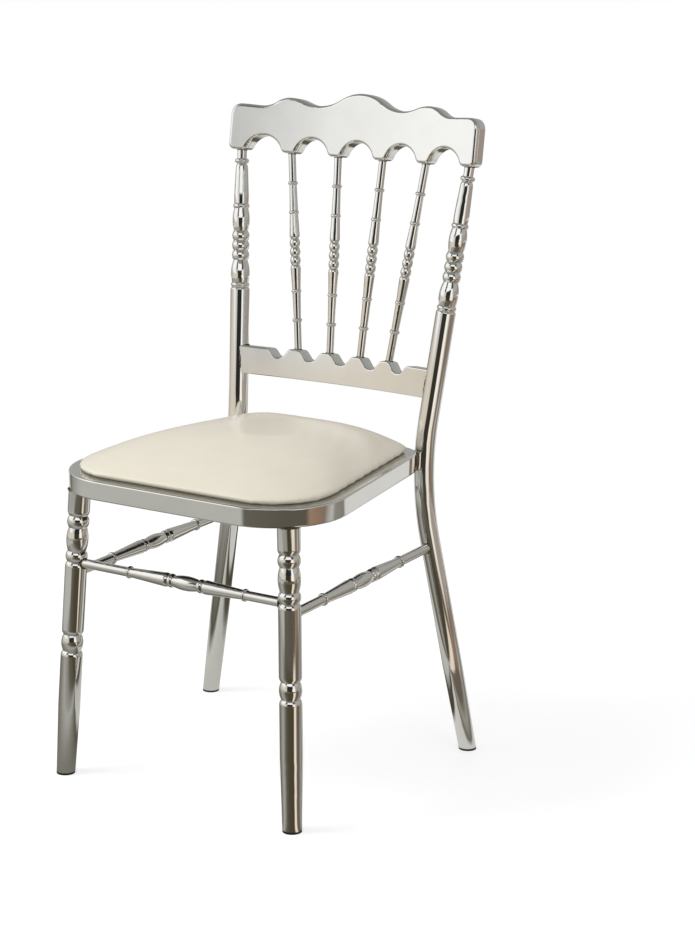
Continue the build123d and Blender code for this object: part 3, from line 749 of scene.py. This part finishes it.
class CHAIR_OT_staples(bpy.types.Operator):
    """Staples the cover's hem to the board"""

    bl_idname = "chair.staples"
    bl_label = "Staples"

    def execute(self, context):
        rim = board_rim()
        length = sum((b - a).length for a, b in zip(rim, rim[1:] + rim[:1]))
        count = round(length / STAPLE_PITCH)
        staple = self.first_staple()
        made = []
        for step in range(count):
            place, heading = self.along(rim, length * step / count)
            copy = staple.copy()
            copy.data = staple.data.copy()
            bpy.context.scene.collection.objects.link(copy)
            inwards = Vector((-heading.y, heading.x)) * STAPLE_INSET
            for vertex in copy.data.vertices:
                x, y, z = vertex.co
                flat = place + inwards + heading * x + Vector((-heading.y, heading.x)) * y
                vertex.co = (flat.x, flat.y, pad_low.z + z)
            made.append(copy)
        bpy.data.objects.remove(staple)
        pick(*made)
        bpy.ops.object.join()
        made[0].name = "hem_staples"
        made[0].data.name = "hem_staples"
        wire = plain_metal("galvanised_staple_wire", context.scene.chair_finish.zinc, 0.32, 0.5 * MM)
        dress(made[0], wire)
        return {"FINISHED"}

    def first_staple(self):
        """Crown of flat wire whose two ends turn up into the board."""
        deselect_all()
        bpy.ops.mesh.primitive_cube_add(size=1.0)
        staple = bpy.context.object
        staple.scale = (STAPLE_CROWN, STAPLE_WIRE, STAPLE_WIRE * 0.6)
        bpy.ops.object.transform_apply(location=False, rotation=False, scale=True)
        bpy.ops.object.mode_set(mode="EDIT")
        bpy.ops.mesh.select_all(action="SELECT")
        bpy.ops.mesh.bevel(offset=0.2 * STAPLE_WIRE, segments=1)
        bpy.ops.object.mode_set(mode="OBJECT")
        for vertex in staple.data.vertices:
            if abs(vertex.co.x) > 0.45 * STAPLE_CROWN:
                vertex.co.z += 0.4 * STAPLE_WIRE
            vertex.co.z -= 0.15 * STAPLE_WIRE
        return staple

    def along(self, rim, distance):
        """Point and heading at a distance along the closed rim."""
        for start, end in zip(rim, rim[1:] + rim[:1]):
            run = end - start
            if distance <= run.length:
                return start + run.normalized() * distance, run.normalized()
            distance -= run.length
        raise RuntimeError("the rim is shorter than expected")


class CHAIR_OT_screws(bpy.types.Operator):
    """Cuts the drive crosses into the seat screws"""

    bl_idname = "chair.screws"
    bl_label = "Screws"

    def execute(self, context):
        piece = copy_node("seat_screws", "cross_head_screws")
        low = min(vertex.co.z for vertex in piece.data.vertices)
        heads = {}
        for vertex in piece.data.vertices:
            if vertex.co.z < low + SAME_LEVEL:
                heads.setdefault((vertex.co.x > 0, vertex.co.y > 0), []).append(vertex.co.xy)
        bars = []
        for points in heads.values():
            centre = sum(points, Vector((0, 0))) / len(points)
            for width, height in ((CROSS_LENGTH, CROSS_WIDTH), (CROSS_WIDTH, CROSS_LENGTH)):
                deselect_all()
                bpy.ops.mesh.primitive_cube_add(size=1.0, location=(centre.x, centre.y, low))
                bar = bpy.context.object
                bar.scale = (width, height, 2 * CROSS_DEPTH)
                bars.append(bar)
        pick(*bars)
        bpy.ops.object.transform_apply(location=True, rotation=True, scale=True)
        bpy.ops.object.join()
        cross = bars[0]
        cut = piece.modifiers.new("crosses", "BOOLEAN")
        cut.operation = "DIFFERENCE"
        cut.object = cross
        cut.use_self = True
        apply_modifiers(piece)
        bpy.data.objects.remove(cross)
        pick(piece)
        bpy.ops.object.shade_smooth_by_angle(angle=EDGE_CREASE)
        plating = plain_metal("zinc_plating", context.scene.chair_finish.zinc, 0.3, 0.6 * MM)
        dress(piece, plating)
        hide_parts("seat_screws")
        return {"FINISHED"}


class CHAIR_OT_underside(bpy.types.Operator):
    """Finishes what holds the pad: the board and its tabs"""

    bl_idname = "chair.underside"
    bl_label = "Underside"

    def execute(self, context):
        finish = context.scene.chair_finish
        board = copy_node("seat_board", "dark_seat_board")
        low = min(vertex.co.z for vertex in board.data.vertices)
        for vertex in board.data.vertices:
            if vertex.co.z < low + SAME_LEVEL:
                vertex.co.z += HEM_ROOM
        bpy.ops.object.shade_smooth_by_angle(angle=EDGE_CREASE)
        dress(board, dark_plywood(finish))
        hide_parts("seat_board")
        tab_steel = plain_metal("mill_finish_steel", finish.mild_steel, 0.42, 1.2 * MM)
        for node in TABS:
            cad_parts[node].data.materials.clear()
            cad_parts[node].data.materials.append(tab_steel)
        return {"FINISHED"}


class CHAIR_OT_glides(bpy.types.Operator):
    """Finishes the glides under the feet"""

    bl_idname = "chair.glides"
    bl_label = "Glides"

    def execute(self, context):
        plastic = moulded_plastic(context.scene.chair_finish)
        for node in GLIDES:
            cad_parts[node].data.materials.clear()
            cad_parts[node].data.materials.append(plastic)
        return {"FINISHED"}


# Studio
ROUND_SIDES = 96
WHITE = (1, 1, 1, 1)
SURROUND_RADIUS = 3.6
SURROUND_HEIGHT = 4.0
MAT_RADIUS = 3.4
MAT_LIFT = 0.5 * MM
WALL_BLEND = (0.8, 0.88)
UPPER_BLEND = (1.75, 1.95)
MIDDLE_BLEND = (1.0, 1.3)
FAR_BLEND = (1.9, 2.4)
# Strengths of the glowing cards, which are no lamps: their glow is painted reflection
WALL_GLOW = 1.2
MAT_GLOW = 1.0
CEILING_GLOW = 1.0
FLOOR_RADIUS = 4.0
FLOOR_FADE = (0.9, 1.7)
FLOOR_GLOW = 0.68
FLOOR_SHADED = (0.45, 0.45, 0.45, 1)
FLOOR_BOUNCE = (0.75, 0.75, 0.75, 1)
SENSOR_HEIGHT = 36.0
LAMP_AIM = Vector((0, 0, 0.45))
LAMPS = (
    ("key", (-1.7, -1.5, 2.5), 1.5),
    ("fill", (2.4, -0.6, 1.7), 1.4),
    ("back", (-1.3, 2.1, 1.9), 1.0),
)

# Painted reflections: glowing tones round the chair, by degrees to the right of the camera, which polished
# steel mirrors as stripes of light and shade
HIGH_WALL_PAINTED_REFLECTION = (
    (-180, "#9E9E9B"),
    (-140, "#A8A8A5"),
    (-110, "#FFFFFF"),
    (-84, "#FFFFFF"),
    (-64, "#F2F2F1"),
    (-42, "#BFBFBE"),
    (-36, "#D8D8D6"),
    (-31, "#2A2A27"),
    (20, "#2A2A27"),
    (25, "#FFFFFF"),
    (38, "#FFFFFF"),
    (46, "#B0B0AD"),
    (140, "#A3A3A0"),
    (180, "#9E9E9B"),
)
UPPER_WALL_PAINTED_REFLECTION = (
    (-180, "#9A9A97"),
    (-130, "#A0A09D"),
    (-110, "#FFFFFF"),
    (-62, "#FFFFFF"),
    (-54, "#4A4A46"),
    (-40, "#33332F"),
    (-34, "#FFFFFF"),
    (20, "#FFFFFF"),
    (27, "#33332F"),
    (44, "#4A4A46"),
    (56, "#A8A8A5"),
    (140, "#A3A3A0"),
    (180, "#9A9A97"),
)
LOW_WALL_PAINTED_REFLECTION = (
    (-180, "#9E9C97"),
    (-130, "#ADA79D"),
    (-100, "#D4CCBE"),
    (-80, "#DAD2C3"),
    (-44, "#D6CDBE"),
    (-34, "#CFC4B4"),
    (-29, "#35332B"),
    (16, "#35332B"),
    (22, "#FFFAF2"),
    (42, "#FFFAF2"),
    (52, "#A89D92"),
    (130, "#9A9087"),
    (160, "#A19E97"),
    (180, "#9E9C97"),
)
CEILING_PAINTED_REFLECTION = ((-180, "#8E8E8B"), (180, "#8E8E8B"))
FAR_FLOOR_PAINTED_REFLECTION = (
    (-180, "#D2D1CC"),
    (-152, "#DEDDD9"),
    (-143, "#625D52"),
    (-132, "#8F8D85"),
    (-110, "#B3B3AE"),
    (-60, "#ABABA5"),
    (-18, "#A3A29B"),
    (-10, "#4E4A3B"),
    (26, "#4E4A3B"),
    (33, "#FFF6E6"),
    (56, "#FFF6E6"),
    (65, "#86715F"),
    (100, "#94857A"),
    (126, "#97958E"),
    (133, "#E2E1DD"),
    (154, "#E8E7E3"),
    (159, "#4F4A3E"),
    (170, "#5A564B"),
    (180, "#D2D1CC"),
)
MIDDLE_FLOOR_PAINTED_REFLECTION = (
    (-180, "#D6D5D0"),
    (-152, "#E0DFDB"),
    (-143, "#6A655A"),
    (-132, "#A3A19A"),
    (-110, "#C4C4BE"),
    (-56, "#C6C6C0"),
    (-50, "#6E695F"),
    (48, "#605B50"),
    (56, "#A58A75"),
    (74, "#9A7F6B"),
    (82, "#8C7E72"),
    (90, "#B9B6AF"),
    (97, "#C9C8C3"),
    (104, "#98958D"),
    (126, "#8C8981"),
    (133, "#E4E3DF"),
    (154, "#ECEBE7"),
    (159, "#5A564B"),
    (170, "#666156"),
    (180, "#D6D5D0"),
)
# Near the chair the mat's tones are mostly darker: painted shade round the feet, seen only in the steel
NEAR_FLOOR_PAINTED_REFLECTION = (
    (-180, "#C6C5BF"),
    (-152, "#D4D3CE"),
    (-143, "#5F5A4F"),
    (-132, "#75726A"),
    (-110, "#8F8D85"),
    (-84, "#B5B4AE"),
    (-62, "#94928A"),
    (-50, "#6B675C"),
    (-24, "#55503F"),
    (24, "#4E4939"),
    (29, "#8A6F5E"),
    (34, "#FFF3E0"),
    (50, "#FFF3E0"),
    (58, "#7B685A"),
    (84, "#6F665B"),
    (104, "#A9A59C"),
    (126, "#75726A"),
    (133, "#D8D7D2"),
    (154, "#E0DFDA"),
    (159, "#4F4A3E"),
    (170, "#5A564B"),
    (180, "#C6C5BF"),
)


def ring_of_tones(tree, around, tones):
    """Tones that follow each other round the upright axis."""
    ramp = add_node(tree, "ShaderNodeValToRGB", {"Fac": around})
    stops = ramp.color_ramp.elements
    while len(stops) < len(tones):
        stops.new(1.0)
    for stop, (degrees, colour) in zip(stops, tones):
        stop.position = degrees / 360 + 0.5
        stop.color = linear(colour)
    return ramp.outputs["Color"]


def painted_reflection_card(name, azimuth, distance, rings, strength):
    """Painted reflection: a glow that only polished steel mirrors, in rings of tones that follow each other
    further up or out.
    """
    material, tree = new_material(name)
    place = add_node(tree, "ShaderNodeTexCoord").outputs["Object"]
    # The radial gradient is turned until its middle faces the camera
    turned = add_node(
        tree, "ShaderNodeMapping", {"Vector": place, "Rotation": (0, 0, math.radians(90 - azimuth))}
    )
    around = add_node(
        tree, "ShaderNodeTexGradient", {"Vector": turned.outputs["Vector"]}, gradient_type="RADIAL"
    ).outputs["Fac"]
    if distance == "HEIGHT":
        reach = add_node(tree, "ShaderNodeSeparateXYZ", {"Vector": place}).outputs["Z"]
    else:
        reach = add_node(tree, "ShaderNodeVectorMath", {0: place}, operation="LENGTH").outputs["Value"]
    tone = ring_of_tones(tree, around, rings[0][2])
    for begin, end, tones in rings[1:]:
        step = add_node(
            tree,
            "ShaderNodeMapRange",
            {"Value": reach, "From Min": begin, "From Max": end},
            interpolation_type="SMOOTHSTEP",
        )
        mixed = add_node(
            tree,
            "ShaderNodeMix",
            {"Factor": step.outputs["Result"], 6: tone, 7: ring_of_tones(tree, around, tones)},
            data_type="RGBA",
        )
        tone = mixed.outputs[2]
    glow = add_node(tree, "ShaderNodeEmission", {"Color": tone, "Strength": strength})
    finish_material(tree, glow)
    return material


def only_in_reflections(thing):
    """Lets a card of painted reflection shape what polished steel mirrors, and nothing else."""
    thing.visible_camera = False
    thing.visible_diffuse = False
    thing.visible_transmission = False
    thing.visible_volume_scatter = False
    thing.visible_shadow = False


def background_ray(tree):
    """1 for the rays that show the plain white background: to the camera, or by way of metal or glass."""
    rays = add_node(tree, "ShaderNodeLightPath")
    seen = add_node(
        tree,
        "ShaderNodeMath",
        {0: rays.outputs["Is Camera Ray"], 1: rays.outputs["Is Glossy Ray"]},
        operation="MAXIMUM",
    )
    through = add_node(
        tree,
        "ShaderNodeMath",
        {0: seen.outputs["Value"], 1: rays.outputs["Is Transmission Ray"]},
        operation="MAXIMUM",
    )
    return through.outputs["Value"]


class CHAIR_OT_stage(bpy.types.Operator):
    """Sets up the floor, the light and the camera"""

    bl_idname = "chair.stage"
    bl_label = "Stage"

    def execute(self, context):
        studio = context.scene.chair_studio
        context.scene.view_settings.view_transform = "Standard"
        self.world(context.scene, studio)
        self.floor()
        self.painted_reflection_surround(studio)
        self.lamps(studio)
        self.camera(context.scene, studio)
        return {"FINISHED"}

    def world(self, scene, studio):
        """White background, with a softer light from all around."""
        world = bpy.data.worlds.new("studio")
        scene.world = world
        world.use_nodes = True
        tree = world.node_tree
        tree.nodes.clear()
        ambient = add_node(tree, "ShaderNodeBackground", {"Color": WHITE, "Strength": studio.sky})
        white = add_node(tree, "ShaderNodeBackground", {"Color": WHITE, "Strength": 1.0})
        mixed = add_node(
            tree,
            "ShaderNodeMixShader",
            {0: background_ray(tree), 1: ambient.outputs[0], 2: white.outputs[0]},
        )
        add_node(tree, "ShaderNodeOutputWorld", {"Surface": mixed.outputs[0]})

    def floor(self):
        """White floor that keeps the chair's shadow and fades into the background."""
        deselect_all()
        bpy.ops.mesh.primitive_circle_add(vertices=ROUND_SIDES, radius=FLOOR_RADIUS, fill_type="NGON")
        floor = bpy.context.object
        floor.name = "floor"
        material, tree = new_material("white_floor")
        place = add_node(tree, "ShaderNodeTexCoord").outputs["Object"]
        reach = add_node(tree, "ShaderNodeVectorMath", {0: place}, operation="LENGTH")
        fade = add_node(
            tree,
            "ShaderNodeMapRange",
            {
                "Value": reach.outputs["Value"],
                "From Min": FLOOR_FADE[0],
                "From Max": FLOOR_FADE[1],
                "To Min": 0.0,
                "To Max": 1.0,
            },
            interpolation_type="SMOOTHSTEP",
        )
        lit = add_node(tree, "ShaderNodeBsdfDiffuse", {"Color": FLOOR_SHADED})
        glow = add_node(tree, "ShaderNodeEmission", {"Color": WHITE, "Strength": FLOOR_GLOW})
        shown = add_node(tree, "ShaderNodeAddShader", {0: lit.outputs[0], 1: glow.outputs[0]})
        plain = add_node(tree, "ShaderNodeBsdfDiffuse", {"Color": FLOOR_BOUNCE})
        by_ray = add_node(
            tree,
            "ShaderNodeMixShader",
            {0: background_ray(tree), 1: plain.outputs[0], 2: shown.outputs[0]},
        )
        clear = add_node(tree, "ShaderNodeBsdfTransparent")
        faded = add_node(
            tree,
            "ShaderNodeMixShader",
            {0: fade.outputs["Result"], 1: by_ray.outputs[0], 2: clear.outputs[0]},
        )
        finish_material(tree, faded)
        floor.data.materials.append(material)

    def painted_reflection_surround(self, studio):
        """Glowing wall, ceiling and mat round the chair that carry the painted reflections, which only
        polished steel shows.
        """
        deselect_all()
        bpy.ops.mesh.primitive_cylinder_add(
            vertices=ROUND_SIDES,
            radius=SURROUND_RADIUS,
            depth=SURROUND_HEIGHT,
            end_fill_type="NOTHING",
            location=(0, 0, SURROUND_HEIGHT / 2),
        )
        wall = bpy.context.object
        wall.name = "painted_reflection_surround"
        bpy.ops.object.transform_apply(location=True, rotation=True, scale=True)
        rings = ((0.0, 0.0, LOW_WALL_PAINTED_REFLECTION), (*WALL_BLEND, HIGH_WALL_PAINTED_REFLECTION), (*UPPER_BLEND, UPPER_WALL_PAINTED_REFLECTION))
        tones = painted_reflection_card("painted_reflection_wall_glow", studio.azimuth, "HEIGHT", rings, WALL_GLOW)
        wall.data.materials.append(tones)
        only_in_reflections(wall)
        deselect_all()
        bpy.ops.mesh.primitive_circle_add(
            vertices=ROUND_SIDES, radius=SURROUND_RADIUS, fill_type="NGON", location=(0, 0, SURROUND_HEIGHT)
        )
        painted_reflection_ceiling = bpy.context.object
        painted_reflection_ceiling.name = "painted_reflection_ceiling"
        tones = painted_reflection_card("painted_reflection_ceiling_glow", studio.azimuth, "REACH", ((0.0, 0.0, CEILING_PAINTED_REFLECTION),), CEILING_GLOW)
        painted_reflection_ceiling.data.materials.append(tones)
        only_in_reflections(painted_reflection_ceiling)
        deselect_all()
        bpy.ops.mesh.primitive_circle_add(
            vertices=ROUND_SIDES,
            radius=MAT_RADIUS,
            fill_type="NGON",
            location=(FRONT_FOOT.x, FRONT_FOOT.y, MAT_LIFT),
        )
        painted_reflection_mat = bpy.context.object
        painted_reflection_mat.name = "painted_reflection_mat"
        rings = ((0.0, 0.0, NEAR_FLOOR_PAINTED_REFLECTION), (*MIDDLE_BLEND, MIDDLE_FLOOR_PAINTED_REFLECTION), (*FAR_BLEND, FAR_FLOOR_PAINTED_REFLECTION))
        tones = painted_reflection_card("painted_reflection_mat_glow", studio.azimuth, "REACH", rings, MAT_GLOW)
        painted_reflection_mat.data.materials.append(tones)
        only_in_reflections(painted_reflection_mat)

    def lamps(self, studio):
        """Soft lamps, which light the chair and leave its reflections to the cards of painted reflection."""
        powers = {"key": studio.key, "fill": studio.fill, "back": studio.back}
        for name, place, size in LAMPS:
            lamp = bpy.data.lights.new(name, "AREA")
            lamp.shape = "SQUARE"
            lamp.size = size
            lamp.energy = powers[name]
            holder = bpy.data.objects.new(name, lamp)
            holder.location = place
            holder.rotation_euler = (LAMP_AIM - Vector(place)).to_track_quat("-Z", "Y").to_euler()
            holder.visible_glossy = False
            bpy.context.scene.collection.objects.link(holder)

    def camera(self, scene, studio):
        """Camera fitted to the photo."""
        lens = bpy.data.cameras.new("camera")
        lens.sensor_fit = "VERTICAL"
        lens.sensor_height = SENSOR_HEIGHT
        lens.lens = studio.lens
        lens.clip_start = 0.05
        holder = bpy.data.objects.new("camera", lens)
        turn = math.radians(studio.azimuth)
        rise = math.radians(studio.elevation)
        view = Vector((-math.sin(turn) * math.cos(rise), math.cos(turn) * math.cos(rise), -math.sin(rise)))
        holder.location = studio.eye
        holder.rotation_euler = view.to_track_quat("-Z", "Y").to_euler()
        scene.collection.objects.link(holder)
        scene.camera = holder


class CHAIR_PT_panel(bpy.types.Panel):
    """Lists the chair's pieces"""

    bl_idname = "CHAIR_PT_panel"
    bl_label = "Chair"
    bl_space_type = "VIEW_3D"
    bl_region_type = "UI"
    bl_category = "Chair"

    def draw(self, context):
        for operator in OPERATORS:
            self.layout.operator(operator.bl_idname)


OPERATORS = (
    CHAIR_OT_steel_frame,
    CHAIR_OT_weld_beads,
    CHAIR_OT_seat_pad,
    CHAIR_OT_staples,
    CHAIR_OT_screws,
    CHAIR_OT_underside,
    CHAIR_OT_glides,
    CHAIR_OT_stage,
)
SETTINGS = (
    ("chair_finish", ChairFinish),
    ("chair_pad", ChairPad),
    ("chair_beads", ChairBeads),
    ("chair_studio", ChairStudio),
)


def register():
    for name, group in SETTINGS:
        bpy.utils.register_class(group)
        setattr(bpy.types.Scene, name, PointerProperty(type=group))
    for operator in OPERATORS:
        bpy.utils.register_class(operator)
    bpy.utils.register_class(CHAIR_PT_panel)


def unregister():
    bpy.utils.unregister_class(CHAIR_PT_panel)
    for operator in reversed(OPERATORS):
        bpy.utils.unregister_class(operator)
    for name, group in reversed(SETTINGS):
        delattr(bpy.types.Scene, name)
        bpy.utils.unregister_class(group)


def main():
    register()
    bpy.ops.chair.steel_frame()
    bpy.ops.chair.weld_beads()
    bpy.ops.chair.seat_pad()
    bpy.ops.chair.staples()
    bpy.ops.chair.screws()
    bpy.ops.chair.underside()
    bpy.ops.chair.glides()
    bpy.ops.chair.stage()


if __name__ == "__main__":
    main()
